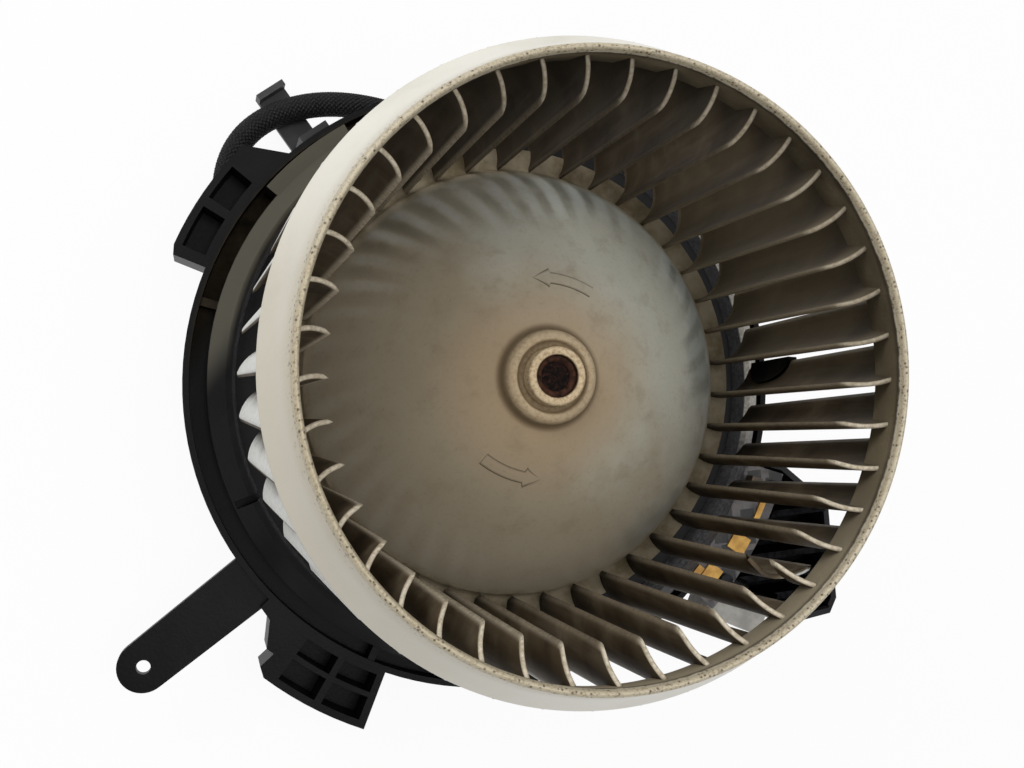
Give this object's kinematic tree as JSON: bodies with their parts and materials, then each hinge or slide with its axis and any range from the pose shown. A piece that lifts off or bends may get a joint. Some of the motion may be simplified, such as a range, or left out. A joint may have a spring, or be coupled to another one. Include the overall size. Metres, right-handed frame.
{
  "type": "car cabin blower motor",
  "caption": "Car cabin blower: bladed centrifugal wheel on a brushed motor, with mounting flange, braided lead and speed regulator.",
  "frame": {"origin": "middle of the motor cup's rear face, on the wheel's axis", "axes": "+Z along the wheel's axis out of its mouth; +X to the right and +Y up in the source picture; strap arm at lower left"},
  "size_m": [0.2393, 0.209, 0.1484],
  "materials": {
    "wheel_plastic": "satin, dusty",
    "steel": "worn, with rust",
    "zinc_steel": "zinc plated",
    "spring_steel": "blackened",
    "copper": "enamelled copper",
    "bronze": "oiled sintered bronze",
    "ferrite": "dull ferrite",
    "carbon": "dull carbon",
    "brass": "satin",
    "rubber": "matt",
    "braid": "woven",
    "black_plastic": "satin, dusty",
    "grey_plastic": "satin",
    "pale_plastic": "satin",
    "black_aluminium": "black anodised",
    "board": "solder resist",
    "capacitor_sleeve": "shrink sleeve"
  },
  "bodies": {
    "housing": {"mounting_flange": "black_plastic", "motor_can": "zinc_steel", "motor_end_plate": "zinc_steel", "front_bearing": "bronze", "rear_bearing": "bronze", "bearing_retainers": "steel", "field_magnets": "ferrite", "magnet_clips": "steel", "brush_card": "black_plastic", "brush_holders": "brass", "carbon_brushes": "carbon", "brush_springs": "steel", "choke_coils": "copper", "rubber_dampers": "rubber", "damper_ring": "rubber", "clamp_ring": "zinc_steel", "clamp_screws": "steel", "motor_lead": "braid", "lead_grommet": "rubber", "cable_clip": "grey_plastic", "regulator_housing": "black_plastic", "heat_sink": "black_aluminium", "circuit_board": "board", "capacitors": "capacitor_sleeve", "power_transistors": "black_plastic", "terminal_strips": "brass", "connector_socket": "pale_plastic", "connector_pins": "brass", "regulator_screws": "steel"},
    "rotor": {"wheel_ring": "wheel_plastic", "wheel_dome": "wheel_plastic", "wheel_blades": "wheel_plastic", "balance_clip": "spring_steel", "hub_sleeve": "steel", "rotor_shaft": "steel", "armature_core": "steel", "armature_windings": "copper", "commutator": "copper", "front_thrust_washer": "black_plastic", "rear_thrust_washer": "black_plastic"}
  },
  "joints": [
    {"name": "wheel_spin", "type": "hinge", "parent": "housing", "child": "rotor", "pos_m": [0, 0, 0.06], "axis": [0, 0, 1], "continuous": true}
  ]
}
